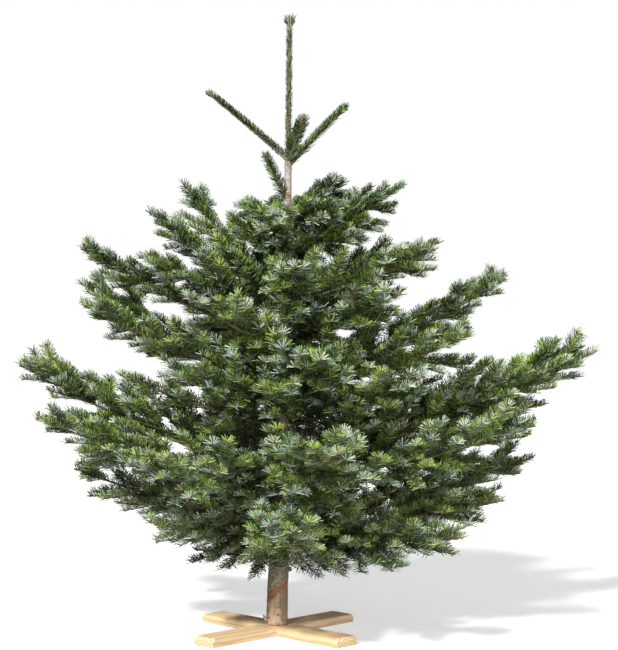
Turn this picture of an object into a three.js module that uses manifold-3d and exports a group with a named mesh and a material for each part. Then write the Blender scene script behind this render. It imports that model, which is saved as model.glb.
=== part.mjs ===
// A cut Caucasian fir for Christmas, 1.75 m from its cut to its tip, in a plain cross stand.
// Millimetres, +Z up, +X to the right and -Y towards a viewer who stands in front.
// The origin is on the floor, under the middle of the stand and on the axis of the cut trunk.
import * as THREE from 'three';
import { mergeVertices } from 'three/addons/utils/BufferGeometryUtils.js';
import Module from 'manifold-3d';

const wasm = await Module();
wasm.setup();

// Driving dimensions
const GAP = 0.3; // between pieces that touch
const SLIVER = 0.02; // corners of one mass that are closer than this become one
const BOARD = { length: 560, width: 78, thickness: 25, chamfer: 9 };
const PIN = { radius: 8, floor: 6, reach: 70, clearance: 0.4 };
const CUT = BOARD.thickness + GAP; // height of the flat cut over the floor

// Heights on the tree are measured from the cut.
const TREE = { height: 1750, leaderFoot: 1328, lean: 37, leanPower: 1.6 };
const TRUNK = { foot: 30.5, neck: 10.5, neckAt: 1270, taperPower: 0.88, sides: 12, rings: 8 };
const LEADER = { foot: 7.5, top: 5.5, swell: 16, buds: 11, budsLength: 30, budsWidest: 14 };
const STUB = { height: 155, turn: -12, radius: 7, reach: 45, rise: 5, sides: 8 };

// A tier is a whorl of limbs, or the odd limbs between two whorls. Each limb is its turn in
// degrees (0 to the right, -90 to the front), its reach out from the trunk and its rise.
// tuft is how far its needles stand out, and pitch how far its laterals are apart.
const STAGGER = 9; // every other limb of a tier sits this far over or under the rest
const TIERS = [
  { name: 'crown', height: 1322, belly: -2, tuft: 17, pitch: 0, limbs: [
    [180, 226, 190], [35, 200, 184], [-75, 172, 98]] },
  { name: 'collar', height: 1196, belly: -6, tuft: 21, pitch: 0, limbs: [[205, 69, 137]] },
  { name: 'upper', height: 1140, belly: 0, tuft: 26, pitch: 75, limbs: [
    [-45, 200, 35], [40, 210, 150], [142, 180, 60]] },
  { name: 'second', height: 1085, belly: 10, tuft: 28, pitch: 80, limbs: [
    [-25, 230, 20], [4, 335, 185], [95, 250, 130], [190, 155, 85], [262, 240, 70]] },
  { name: 'third', height: 905, belly: 8, tuft: 34, pitch: 105, limbs: [
    [-32, 480, 150], [14, 460, 205], [88, 430, 230], [141, 380, 370], [180, 390, 270],
    [209, 450, 150], [274, 420, 100]] },
  { name: 'between', height: 785, belly: 10, tuft: 36, pitch: 110, limbs: [
    [-56, 545, 150], [56, 520, 200], [181, 580, 285], [237, 450, 160]] },
  { name: 'fourth', height: 665, belly: 14, tuft: 37, pitch: 120, limbs: [
    [-80, 590, 100], [-36, 615, 175], [3, 640, 315], [49, 670, 190], [110, 600, 190],
    [170, 605, 325], [204, 585, 235], [236, 520, 95]] },
  { name: 'inner', height: 555, belly: 12, tuft: 37, pitch: 115, limbs: [
    [-48, 560, 160], [90, 560, 160], [212, 480, 150]] },
  { name: 'wide', height: 440, belly: 34, tuft: 38, pitch: 130, limbs: [
    [-78, 720, 100], [-34, 795, 170], [-3, 895, 335], [48, 760, 170], [108, 740, 180],
    [173, 770, 315], [208, 730, 160], [240, 670, 65]] },
  { name: 'low', height: 262, belly: 12, tuft: 38, pitch: 135, limbs: [
    [-86, 600, 70], [-41, 640, 50], [-14, 640, 100], [17, 775, 200], [81, 660, 90],
    [130, 640, 80], [186, 580, 180], [228, 500, 85]] },
];
const BOUGH = { from: 750, share: 0.28, sides: 7 }; // longer limbs start as a bare bough

// The clothed shoots
const SHOOT = {
  core: 0.45, // of the tuft's reach
  pitch: 110, // from tuft to tuft
  peak: 0.86, // where in its pitch a tuft is widest
  taper: 0.3, // how much narrower the last tuft is
  bud: 0.33, // how much of the last pitch closes the tip
  least: 2.4, // no lateral is shorter, counted in its tufts' reach
};
const STEM = { perMetre: 6, least: 4 }; // corner radius by the length still to come
const LATERAL = {
  first: 0.3, // where the laterals start on a limb
  last: 0.86, // where the last ones sit
  clothed: 0.12, // where a lateral's own needles start
  share: 0.5, // of the limb still to come
  more: 0.09, // of the whole limb
  spread: 44,
  spreadTip: 20,
  lifts: [4, 24, -20, 12], // taken in turn, in degrees
  curl: 10, // how much steeper a lateral ends
  wobble: 7,
  uneven: 0.12,
  riser: 18, // the lift of the laterals that stand on top of a limb
  riserFrom: 0.7,
  riserShare: 0.9,
};
const FITS = [1, 0.8, 0.64, 0.5, 0.4]; // shares of a lateral's length, tried until its space holds it
const TESTED = [0.3, 0.5, 0.7, 0.85, 1]; // places on a lateral that have to stay in its space
const MARKS = 10; // straight stretches that a limb's line is measured by

// Materials
const finish = (color, roughness, metalness = 0) =>
  new THREE.MeshStandardMaterial({ color, roughness, metalness });
const BARK = finish(0x6f6153, 0.9);
const NEEDLES = finish(0x2f4a26, 0.6);
const PINE = finish(0xc9a777, 0.75);
const STEEL = finish(0x9a9ca0, 0.4, 1);

// Numbers dealt by a seeded rule, from -1 to 1
function dealer(seed) {
  let state = seed;
  return () => {
    state = (state * 1664525 + 1013904223) % 4294967296;
    return (state / 4294967296) * 2 - 1;
  };
}

const rad = THREE.MathUtils.degToRad;
const UP = new THREE.Vector3(0, 0, 1);
const along = (a, b, t) => a + (b - a) * t;

// The trunk's line and its radius, by the height over the cut
function trunkPoint(height) {
  const share = 1 - height / TREE.height;
  const lean = TREE.lean * (1 - Math.max(share, 0) ** TREE.leanPower);
  return new THREE.Vector3(lean, 0, CUT + height);
}

function trunkRadius(height) {
  if (height > TREE.leaderFoot) {
    const share = (height - TREE.leaderFoot) / (TREE.height - TREE.leaderFoot);
    return along(LEADER.foot, LEADER.top, share);
  }
  const share = (height / TRUNK.neckAt) ** TRUNK.taperPower;
  return along(TRUNK.foot, TRUNK.neck, share);
}

// A solid from a three.js geometry: corners within reach of each other become one, and faces
// that this flattens go, also two that then lie back to back.
function solidOf(geometry, reach = 1e-4) {
  const bare = geometry.clone();
  bare.deleteAttribute('normal');
  bare.deleteAttribute('uv');
  const merged = mergeVertices(bare, reach);
  const faces = new Map();
  for (let i = 0; i < merged.index.count; i += 3) {
    const face = Array.from(merged.index.array.slice(i, i + 3));
    const key = [...face].sort((a, b) => a - b).join();
    if (faces.has(key)) faces.delete(key);
    else if (new Set(face).size === 3) faces.set(key, face);
  }
  return new wasm.Manifold(
    new wasm.Mesh({
      numProp: 3,
      vertProperties: merged.attributes.position.array,
      triVerts: new Uint32Array([...faces.values()].flat()),
    }),
  );
}

function geometryOf(solid) {
  const { vertProperties, triVerts } = solid.getMesh();
  return new THREE.BufferGeometry()
    .setAttribute('position', new THREE.BufferAttribute(vertProperties, 3))
    .setIndex(new THREE.BufferAttribute(triVerts, 1));
}

// Joining leaves slivers and may leave loose scrap: the largest piece is kept, without slivers.
function cleaned(solid) {
  const pieces = solidOf(geometryOf(solid), SLIVER).decompose();
  return pieces.reduce((largest, piece) => (piece.volume() > largest.volume() ? piece : largest));
}

function meshOf(name, solid, material) {
  const geometry = geometryOf(solid).toNonIndexed();
  geometry.computeVertexNormals();
  const mesh = new THREE.Mesh(geometry, material);
  mesh.name = name;
  return mesh;
}

// The three directions at a place on a line: forward, up across it, and to its side
function framed(line, t) {
  const forward = line.getTangent(t);
  const up = UP.clone().addScaledVector(forward, -UP.dot(forward)).normalize();
  const side = new THREE.Vector3().crossVectors(forward, up);
  return { point: line.getPoint(t), forward, up, side };
}

// A turned piece bent along a line. Each profile point is a radius and a share of the line.
function bentLathe(profile, sides, line) {
  const points = profile.map(([radius, t]) => new THREE.Vector2(radius, t));
  const geometry = new THREE.LatheGeometry(points, sides);
  const place = geometry.attributes.position;
  for (let i = 0; i < place.count; i += 1) {
    const { point, up, side } = framed(line, place.getY(i));
    point.addScaledVector(side, place.getX(i)).addScaledVector(up, place.getZ(i));
    place.setXYZ(i, point.x, point.y, point.z);
  }
  return solidOf(geometry);
}

// The trunk, from the flat cut to the buds on the leader
function trunkSolid(extra) {
  const rings = [];
  for (let i = 0; i <= TRUNK.rings; i += 1) {
    const height = (TRUNK.neckAt * i) / TRUNK.rings;
    rings.push([height, trunkRadius(height) + extra]);
  }
  const budsAt = TREE.height - LEADER.budsLength;
  rings.push([TREE.leaderFoot, trunkRadius(TREE.leaderFoot) + extra]);
  rings.push([TREE.leaderFoot + LEADER.swell, LEADER.foot + extra]);
  rings.push([budsAt, trunkRadius(budsAt) + extra]);
  rings.push([budsAt + LEADER.budsWidest, LEADER.buds + extra]);
  const profile = [[0, 0], ...rings.map(([height, radius]) => [radius, height]), [0, TREE.height]];
  const points = profile.map(([radius, height]) => new THREE.Vector2(radius, height));
  const geometry = new THREE.LatheGeometry(points, TRUNK.sides);
  const place = geometry.attributes.position;
  for (let i = 0; i < place.count; i += 1) {
    const centre = trunkPoint(place.getY(i));
    place.setXYZ(i, centre.x + place.getZ(i), place.getX(i), centre.z);
  }
  return solidOf(geometry);
}

function postSolid(radius, from, to) {
  const geometry = new THREE.CylinderGeometry(radius, radius, to - from, TRUNK.sides);
  geometry.rotateX(Math.PI / 2).translate(0, 0, (from + to) / 2);
  return solidOf(geometry);
}

// The line of a limb: out from the trunk's axis, with a belly under its chord
function limbLine(tier, [turn, reach, rise], stagger) {
  const foot = trunkPoint(tier.height + stagger);
  const out = new THREE.Vector3(Math.cos(rad(turn)), Math.sin(rad(turn)), 0);
  const tip = foot.clone().addScaledVector(out, reach).addScaledVector(UP, rise);
  const middle = foot.clone().lerp(tip, 0.5).addScaledVector(UP, -2 * tier.belly);
  return new THREE.QuadraticBezierCurve3(foot, middle, tip);
}

const limbs = TIERS.flatMap((tier, t) =>
  tier.limbs.map((sizes, i) => {
    const stagger = i % 2 === 0 ? STAGGER : -STAGGER;
    const line = limbLine(tier, sizes, stagger);
    const length = Math.hypot(sizes[1], sizes[2]);
    return {
      ...tier,
      name: `${tier.name}_${i + 1}`,
      length,
      wood: length > BOUGH.from ? BOUGH.share : 0,
      line,
      marks: line.getPoints(MARKS),
      deal: dealer(1000 * (t + 1) + 37 * (i + 1)),
    };
  }),
);

// A lateral leaves its limb at a wide angle and turns forward and up towards its tip. One that
// stands on top of its limb has side 0.
function lateralLine(limb, { t, side, lift, wobble }, length) {
  const { point, forward, up, side: across } = framed(limb.line, t);
  const heading = (spread, rise) =>
    forward.clone().multiplyScalar(Math.cos(rad(spread)))
      .addScaledVector(across, side * Math.sin(rad(spread)))
      .addScaledVector(up, Math.tan(rad(rise)))
      .normalize();
  const first = heading(LATERAL.spread + wobble, lift);
  const last = heading(LATERAL.spreadTip + wobble, lift + LATERAL.curl);
  const bend = point.clone().addScaledVector(first, length / 2);
  const tip = bend.clone().addScaledVector(last, length / 2);
  return new THREE.QuadraticBezierCurve3(point, bend, tip);
}

// A limb's own space is where it is the nearest limb, and the trunk is clear.
function distanceTo(marks, point) {
  const closest = new THREE.Vector3();
  const piece = new THREE.Line3();
  let least = Infinity;
  for (let i = 1; i < marks.length; i += 1) {
    piece.set(marks[i - 1], marks[i]).closestPointToPoint(point, true, closest);
    least = Math.min(least, closest.distanceTo(point));
  }
  return least;
}

function staysInSpace(limb, line) {
  return TESTED.every((t) => {
    const point = line.getPoint(t);
    const own = distanceTo(limb.marks, point);
    const height = THREE.MathUtils.clamp(point.z - CUT, 0, TREE.height);
    const trunk = trunkPoint(height).distanceTo(point) - trunkRadius(height);
    const room = limb.tuft * (t < 1 ? 1 : SHOOT.core);
    return trunk > room + GAP
      && limbs.every((other) => other === limb
        || distanceTo(other.marks, point) - own > 2 * room + GAP);
  });
}

// The saw-toothed profile of a shoot clothed in needles, from one share of its line to its tip
function tufts(tuft, from, length) {
  const count = Math.max(2, Math.round(((1 - from) * length) / SHOOT.pitch));
  const pitch = (1 - from) / count;
  const profile = [];
  for (let i = 0; i < count; i += 1) {
    const taper = 1 - (SHOOT.taper * i) / count;
    profile.push([tuft * SHOOT.core * taper, from + i * pitch]);
    profile.push([tuft * taper, from + (i + SHOOT.peak) * pitch]);
  }
  profile[profile.length - 1][1] = 1 - pitch * SHOOT.bud;
  return [...profile, [0, 1]];
}

// The laterals of a mass: pairs in turn flatter and steeper, and some on top of the limb
function plannedLaterals({ length, pitch, deal }) {
  if (pitch === 0) return [];
  const count = Math.max(1, Math.round(((LATERAL.last - LATERAL.first) * length) / pitch));
  const planned = [];
  for (let i = 0; i <= count; i += 1) {
    const t = along(LATERAL.first, LATERAL.last, i / count);
    const grown = length * ((1 - t) * LATERAL.share + LATERAL.more);
    for (const side of t > LATERAL.riserFrom ? [-1, 1, 0] : [-1, 1]) {
      const pick = (i + (side + 1) / 2) % LATERAL.lifts.length;
      const lift = side === 0 ? LATERAL.riser : LATERAL.lifts[pick];
      const wobble = LATERAL.wobble * deal();
      const share = (side === 0 ? LATERAL.riserShare : 1) * (1 + LATERAL.uneven * deal());
      planned.push({ t, side, wobble, lift: lift + wobble / 2, grown: grown * share });
    }
  }
  return planned;
}

function stemRadius({ length }, t) {
  return STEM.least + (STEM.perMetre * length * (1 - t)) / 1000;
}

// A mass of foliage: one stem clothed in its own needles, and the laterals its space holds
function massSolid(limb, trunkGrown) {
  const { line, length, wood, tuft, pitch } = limb;
  const start = wood > 0 ? wood + GAP / length : 0;
  const clothed = pitch === 0 ? LATERAL.clothed : LATERAL.first;
  const stem = [[0, start], [stemRadius(limb, start), start]];
  let mass = bentLathe([...stem, ...tufts(tuft, clothed, length)], 3, line);
  for (const plan of plannedLaterals(limb)) {
    const share = FITS.find((fit) => plan.grown * fit >= SHOOT.least * tuft
      && staysInSpace(limb, lateralLine(limb, plan, plan.grown * fit)));
    if (share) {
      const grown = plan.grown * share;
      const shape = [[0, 0], ...tufts(tuft, LATERAL.clothed, grown)];
      mass = mass.add(bentLathe(shape, 3, lateralLine(limb, plan, grown)));
    }
  }
  return cleaned(wood > 0 ? mass : mass.subtract(trunkGrown));
}

function boughSolid(limb, trunkGrown) {
  const { line, wood } = limb;
  const rings = [0, wood / 2, wood].map((t) => [stemRadius(limb, t), t]);
  return bentLathe([[0, 0], ...rings, [0, wood]], BOUGH.sides, line).subtract(trunkGrown);
}

// The stand: two boards halved over each other at their middles, and a pin up into the trunk
function boardSolid(notchOnTop) {
  const { length, width, thickness, chamfer } = BOARD;
  const notch = (width + 2 * GAP) / 2;
  const lap = thickness / 2 + (notchOnTop ? -GAP : GAP) / 2;
  const outline = new THREE.Shape();
  outline.moveTo(-length / 2, 0);
  if (!notchOnTop) {
    outline.lineTo(-notch, 0).lineTo(-notch, lap).lineTo(notch, lap).lineTo(notch, 0);
  }
  outline.lineTo(length / 2, 0).lineTo(length / 2, thickness - chamfer);
  outline.lineTo(length / 2 - chamfer, thickness);
  if (notchOnTop) {
    outline.lineTo(notch, thickness).lineTo(notch, lap).lineTo(-notch, lap);
    outline.lineTo(-notch, thickness);
  }
  outline.lineTo(-length / 2 + chamfer, thickness).lineTo(-length / 2, thickness - chamfer);
  const geometry = new THREE.ExtrudeGeometry(outline, { depth: width, bevelEnabled: false });
  geometry.translate(0, 0, -width / 2).rotateX(Math.PI / 2);
  geometry.rotateZ(rad(notchOnTop ? 45 : -45));
  return solidOf(geometry);
}

const hole = postSolid(PIN.radius + PIN.clearance, PIN.floor, CUT + PIN.reach + GAP);
const stub = bentLathe(
  [[0, 0], [STUB.radius, 0], [STUB.radius, 1], [0, 1]],
  STUB.sides,
  limbLine({ height: STUB.height, belly: 0 }, [STUB.turn, STUB.reach, STUB.rise], 0),
);

const tree = new THREE.Group();
const trunkGrown = trunkSolid(GAP);
tree.add(meshOf('trunk', trunkSolid(0).add(stub).subtract(hole), BARK));
for (const limb of limbs) {
  if (limb.wood > 0) tree.add(meshOf(`bough_${limb.name}`, boughSolid(limb, trunkGrown), BARK));
  tree.add(meshOf(`foliage_${limb.name}`, massSolid(limb, trunkGrown), NEEDLES));
}
tree.add(meshOf('stand_board_lower', boardSolid(true).subtract(hole), PINE));
tree.add(meshOf('stand_board_upper', boardSolid(false).subtract(hole), PINE));
tree.add(meshOf('stand_pin', postSolid(PIN.radius, PIN.floor + GAP, CUT + PIN.reach), STEEL));

export default tree;
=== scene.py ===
"""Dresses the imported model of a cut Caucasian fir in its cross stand.

Metres, +Z up, and -Y towards a viewer who stands in front. The origin is on the floor, on the
axis of the cut trunk. Limbs and laterals follow the rule that the solids grow by, carried on
to finer twigs, needles and buds.
"""

import math
from functools import cache
from types import SimpleNamespace as Sizes
from typing import NamedTuple

import bmesh
import bpy
import numpy as np
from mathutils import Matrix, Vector, noise


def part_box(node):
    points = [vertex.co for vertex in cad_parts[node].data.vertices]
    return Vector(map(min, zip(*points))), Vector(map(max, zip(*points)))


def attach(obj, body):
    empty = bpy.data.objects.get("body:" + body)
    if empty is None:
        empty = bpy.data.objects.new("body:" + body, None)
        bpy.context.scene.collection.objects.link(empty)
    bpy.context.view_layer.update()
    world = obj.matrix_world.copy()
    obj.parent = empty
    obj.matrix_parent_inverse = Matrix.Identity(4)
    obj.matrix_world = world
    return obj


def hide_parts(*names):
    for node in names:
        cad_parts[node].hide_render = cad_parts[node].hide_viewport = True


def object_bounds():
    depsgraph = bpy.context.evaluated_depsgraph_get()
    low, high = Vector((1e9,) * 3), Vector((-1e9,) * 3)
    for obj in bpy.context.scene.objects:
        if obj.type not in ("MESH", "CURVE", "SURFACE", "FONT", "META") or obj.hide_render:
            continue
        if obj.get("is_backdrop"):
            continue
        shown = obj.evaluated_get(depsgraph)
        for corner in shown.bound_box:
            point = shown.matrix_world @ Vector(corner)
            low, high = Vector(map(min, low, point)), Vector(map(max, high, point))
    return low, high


bl_info = {
    "name": "Cut Caucasian fir",
    "version": (1, 0, 0),
    "blender": (4, 5, 0),
    "location": "3D View > Sidebar > Fir",
    "description": "Bark, boughs, twigs, needles and buds of a cut fir around its solids",
    "category": "Add Mesh",
}

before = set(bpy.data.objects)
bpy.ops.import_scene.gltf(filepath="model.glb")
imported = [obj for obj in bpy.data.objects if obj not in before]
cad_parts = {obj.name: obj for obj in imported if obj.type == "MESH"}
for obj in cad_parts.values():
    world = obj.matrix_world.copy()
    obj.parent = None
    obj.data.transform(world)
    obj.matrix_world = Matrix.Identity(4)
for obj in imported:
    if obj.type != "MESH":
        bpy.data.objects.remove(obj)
CAD_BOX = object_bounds()

# Sizes that the solids are built from. Heights on the tree are measured from the flat cut.
GAP = 0.0003  # between solids that touch
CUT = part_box("stand_board_lower")[1].z + GAP
TREE = Sizes(height=1.75, leader_foot=1.328, lean=0.037, lean_power=1.6)
TRUNK = Sizes(foot=0.0305, neck=0.0105, neck_at=1.27, taper_power=0.88)
STAGGER = 0.009  # every other limb of a tier sits this far over or under the rest
BOUGH_FROM = 0.75  # longer limbs have a solid of their own near the trunk


class Tier(NamedTuple):
    """A whorl of limbs, each its turn in degrees (0 to the right), its reach and its rise.

    belly is how far a limb sags, tuft how far its needles stand out and pitch how far its
    laterals are apart, 0 where it has none.
    """

    height: float
    belly: float
    tuft: float
    pitch: float
    limbs: tuple


TIERS = {
    "crown": Tier(1.322, -0.002, 0.017, 0, (
        (180, 0.226, 0.190), (35, 0.200, 0.184), (-75, 0.172, 0.098))),
    "collar": Tier(1.196, -0.006, 0.021, 0, ((205, 0.069, 0.137),)),
    "upper": Tier(1.140, 0, 0.026, 0.075, (
        (-45, 0.200, 0.035), (40, 0.210, 0.150), (142, 0.180, 0.060))),
    "second": Tier(1.085, 0.010, 0.028, 0.080, (
        (-25, 0.230, 0.020), (4, 0.335, 0.185), (95, 0.250, 0.130), (190, 0.155, 0.085),
        (262, 0.240, 0.070))),
    "third": Tier(0.905, 0.008, 0.034, 0.105, (
        (-32, 0.480, 0.150), (14, 0.460, 0.205), (88, 0.430, 0.230), (141, 0.380, 0.370),
        (180, 0.390, 0.270), (209, 0.450, 0.150), (274, 0.420, 0.100))),
    "between": Tier(0.785, 0.010, 0.036, 0.110, (
        (-56, 0.545, 0.150), (56, 0.520, 0.200), (181, 0.580, 0.285), (237, 0.450, 0.160))),
    "fourth": Tier(0.665, 0.014, 0.037, 0.120, (
        (-80, 0.590, 0.100), (-36, 0.615, 0.175), (3, 0.640, 0.315), (49, 0.670, 0.190),
        (110, 0.600, 0.190), (170, 0.605, 0.325), (204, 0.585, 0.235), (236, 0.520, 0.095))),
    "inner": Tier(0.555, 0.012, 0.037, 0.115, (
        (-48, 0.560, 0.160), (90, 0.560, 0.160), (212, 0.480, 0.150))),
    "wide": Tier(0.440, 0.034, 0.038, 0.130, (
        (-78, 0.720, 0.100), (-34, 0.795, 0.170), (-3, 0.895, 0.335), (48, 0.760, 0.170),
        (108, 0.740, 0.180), (173, 0.770, 0.315), (208, 0.730, 0.160), (240, 0.670, 0.065))),
    "low": Tier(0.262, 0.012, 0.038, 0.135, (
        (-86, 0.600, 0.070), (-41, 0.640, 0.050), (-14, 0.640, 0.100), (17, 0.775, 0.200),
        (81, 0.660, 0.090), (130, 0.640, 0.080), (186, 0.580, 0.180), (228, 0.500, 0.085))),
}
CORE = 0.45  # of a solid's tuft, as a share of its reach
LEAST_TUFTS = 2.4  # a lateral is at least this many tufts long
STEM = Sizes(per_metre=0.006, least=0.0022)  # a stem's radius by the length still to come
# How laterals grow, by the rule of the solids: shares of their limb and its length, and degrees.
# A riser grows forward and up from the top of the limb, near its tip.
LATERAL = Sizes(
    first=0.3, last=0.86, clothed=0.12, share=0.5, more=0.09, spreads=(44, 20),
    lifts=(4, 24, -20, 12), curl=10, wobble=7, uneven=0.12, foot=0.6, apart=2,
    riser=18, riser_from=0.7, riser_share=0.9)
FITS = (1, 0.8, 0.64, 0.5, 0.4)  # shares of a shoot's length, tried until its space holds it
TESTED = (0.3, 0.5, 0.7, 0.85, 1)  # places on a shoot that have to stay in its space
MARKS = 10  # straight stretches that a limb's line is measured by

# Finer growth, which the solids stand for with their toothed tufts: how far pairs of twigs are
# apart, the shares of the shoot they start and end at, how long they grow as a share of what is
# left of it and of all of it, and in degrees their lifts, dealt in turn, and spreads. FINE is for
# laterals and twigs, FILLER for the limbs between their laterals, HANGING for the lowest limbs.
FINE = Sizes(pitch=0.072, first=0.2, last=0.86, share=0.5, more=0.12,
             lifts=(12, -20, 28, -4), spreads=(46, 24))
FILLER = Sizes(pitch=0.065, first=0.2, last=0.86, share=0.36, more=0.07,
               lifts=(30, -36, 52, -10), spreads=(46, 24))
HANGING = Sizes(pitch=0.11, first=0.24, last=0.84, share=0.01, more=0.085,
                lifts=(-72, -58, -66, -80), spreads=(46, 24))
# Twigs close to the trunk are alike on long and short limbs, so their places are in metres.
INNER = Sizes(pitch=0.021, near=0.02, far=0.2, most=0.7, grown=0.125, share=0.3,
              lifts=(56, -66, 24, -30), spreads=(26, 4))
# How twigs vary, the space that they need and how slim they are: degrees, metres and shares
TWIG = Sizes(
    wobble=8, uneven=0.2, curl=6, flatter=0.75, least=0.042, room=0.016, apart=0.45, foot=0.55,
    slimmest=0.0012, clothed=0.04, forks_from=0.15, outward=0.62, play=0.3, nearest=0.05,
    farthest=0.97)
MOST_METRES = 30  # of shoots whose needles make one piece

# A needle's shape and how it stands on its shoot: shares, metres and degrees
GOLDEN_TURN = math.pi * (3 - math.sqrt(5))
NEEDLE = Sizes(
    foot=0.8, end=0.8, fewest=6, lean=58, lean_top=12, lean_tip=4, loose=8, loose_tip=18,
    lift=0.22, rosette=0.024, shorter_top=0.15, shorter_tip=0.08, crowded=0.85, uneven=0.11,
    turned_out=0.3, roll=52, inside=0.38, play=0.4, turn_play=0.2, start_turn=1.7, sunk=0.9,
    upright_power=4)
# How a kind of shoot is clothed: its needles' length and number next to those of a side shoot,
# how far they lie down on it, how far round it they stand and how much slimmer its tip is
SIDE_SHOOT = Sizes(scale=1, crowd=1.2, pressed=0, lowest=118, taper=0.7)
BRUSH_SHOOT = Sizes(scale=0.95, crowd=2.1, pressed=0.06, lowest=125, taper=0.7)
BRUSHES = ("upper", "second")  # whorls of sparse, thickly clothed shoots
TOP_SHOOT = Sizes(scale=0.92, crowd=2.3, pressed=0.15, lowest=100, taper=0.7)
LEADER_SHOOT = Sizes(scale=0.48, crowd=1.2, pressed=0.55, lowest=180, taper=0.25)
LEADER_TUFT = Sizes(scale=0.85, crowd=2.6, pressed=0.4, lowest=180, taper=0.2)
# The leader's radii, and how far from its foot and its tip its needles and buds stand
LEADER = Sizes(foot=0.0070, top=0.0052, bare=0.01, tuft=0.034, buds=0.026, flare=0.42,
               bud_turns=(10, 82, 154, 226, 298), bud_sizes=(3.0, 3.1, 3.1, 3.1, 3.1, 3.1), tone=1)

# Tones of the needles' upper faces run from dark to yellowish. Three silvery ones of the lower
# faces follow: two for the rosettes at shoots' tips and one for the rest.
UPPERS = 6
NEEDLE_STEPS = (-5, -3, -2, -1, 0, 0, 1, 1, 2, 3)  # a needle's tone next to that of its shoot
# Shares of shoots whose rosettes show lower faces, and of needles that do, there and elsewhere
SILVERY = Sizes(shoots=0.5, rosette=0.6, along=0.06, under=0.3, dealt=0.618, tip_from=0.1)
# A rough outline of the crown, and where shoots count as open or are dealt dark tones
CROWN = Sizes(foot=0.85, taper=0.42, top=1.3, judged_at=0.6, open_from=0.85, open_over=0.2,
              dark_from=1.24, under=0.26, dark_weights=(0.3, 0.7, 0, 0, 0, 0))
# Weights of the four darker tones low at the trunk, and what they gain outwards and upwards. The
# darkest is painted shade, dealt near the trunk and lost outwards
TONE_WEIGHTS = ((0.4, -0.36, 0), (0.12, 0, 0.08), (0.04, 0, 0.26), (0.4, 0.1, 0))
# The weight of fresh green low in the crown and its loss upwards, and the share of it for yellow
FRESH = Sizes(low=0.98, upwards=0.85, least=0.04, most=0.85, inside=0.3, yellow=0.3)

# Buds: sizes next to the common one, and three more that sit beside the one at a strong tip
BUD = Sizes(length=0.0075, radius=0.0027, sides=5, widest=0.45, dark_over=1.5, top=2.3, twig=0.65,
            uneven=0.15, beside=(20, 140, 260), turn_play=40, beside_size=0.8, splayed=0.85,
            back=0.002, aside=0.0015, dark=1, finishes=3, steep=0.9)
# Seeds of the needles and buds and, by its tier and its number there, of each limb's growth
SEEDS = Sizes(needles=5, buds=11, tier=1000, limb=37)
DEAL = Sizes(times=1664525, plus=1013904223, size=4294967296)  # one number to the next

# The trunk's mesh: its rings are close together at the foot, and it ends inside the top buds
RINGS = Sizes(sides=56, fine=0.002, fine_to=0.2, coarse=0.0045, short=0.012, worn=0.003,
              worn_over=0.004)
# The bark's grain, long waves and blisters: heights in metres, and how fine they are
RELIEF = Sizes(grain=0.00035, grain_scale=300, wave=0.0007, wave_round=3, wave_along=60,
               blister=0.0011, blister_scale=62, blister_share=0.34, young=0.25)
# The foot, where the bark is peeled off under a slanting line
PEEL = Sizes(height=0.112, slope=0.66, band=0.021, band_slope=0.5, bark=0.0015, inner=0.35,
             layer=0.325, ragged=0.006, ragged_scale=140, ragged_band=0.7, grain=0.0003,
             grain_scales=(250, 250, 12))
SPECK = Sizes(scale=95, shift=(3, 1, 7), least=0.52, strong=9)  # dark specks on the bare wood
FLARE = Sizes(swell=0.0028, up_to=0.45)  # of the bark over the wood near the cut
# The trunk's swelling round the feet of its limbs, and the stub of a limb that is cut off short
KNOT = Sizes(rise=0.0045, more=0.5, high=0.016, wide=0.5, small_from=1, small=0.4)
STUB = Sizes(height=0.155, turn=-12, radius=0.007, reach=0.045, rise=0.005, torn=0.006,
             shares=(0.4, 0.7, 0.82, 0.9, 0.96, 0.99), swell=(1.5, 1.15, 1.0, 0.95, 0.9, 0.72),
             sides=14, rough=0.0012, rough_scale=260)
# Strips of bark that are torn loose, at the trunk's foot and at the stub: the line of each
STRIPS = (((-0.022, -0.016, 0.034), (-0.034, -0.018, 0.038), (-0.038, -0.018, 0.056)),
          ((0.026, -0.012, 0.168), (0.036, -0.013, 0.192), (0.03, -0.012, 0.216)))
STRIP = Sizes(radii=(0.005, 0.0055, 0.002), sides=7)
# The limbs' mesh: its rings, the collar at the trunk and how rough the bark is
LIMB = Sizes(ring=0.018, fewest=10, sides=9, collar=0.35, collar_over=0.02, collar_most=0.6,
             tip=0.5, rough=0.16, smoother=0.5, fine=190, coarse=70, coarse_share=0.6, ages=1.1)
# Rings and sides of a lateral, a twig and a twig's twig, in that order
TWIG_MESH = ((6, 5), (4, 4), (3, 3))
TWIG_TAPER = 0.7  # of its radius, from its foot to its tip
TWIG_LEAST = 0.0009  # radius

# The stand's boards: which edges are eased, in degrees, and how
EDGE = Sizes(steep=30, flat=1, same_place=1e-5, segments=3, profile=0.6)

# Heights between which the bark changes: darkened as painted shade inside the crown, pale and
# rusty over it, and olive on the leader
BARK_SHADE = (0.3, 0.5, 0.95, 1.1)
BARK_PALE = (0.9, 1.12)
BARK_RUST = (1.212, 1.226, 1.238, 1.252)
BARK_LEADER = (1.3, 1.335)

# The floor and the lights
FLOOR_SIZE = 40
KEY_PLACE = (-1.4, -3.1, 3.4)
FILL_PLACE = (1.7, -3.8, 1.1)
FILL_SIZE = 1.6
LIGHTS_AIM = (0, 0, 0.85)
WHITE = (1, 1, 1, 1)

# The photograph's frame in pixels, and the camera that takes it
PHOTO = Sizes(width=618, height=650, focal=1600, sensor=36)


class Shoot(NamedTuple):
    """A stem with its needles, which start at the share of its length in clothed.

    line holds the three corners of its Bezier line, limb the number of its limb, order how many
    forks it is from the trunk and foot the radius it starts with.
    """

    line: np.ndarray
    length: float
    limb: int
    order: int
    foot: float
    clothed: float


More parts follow.
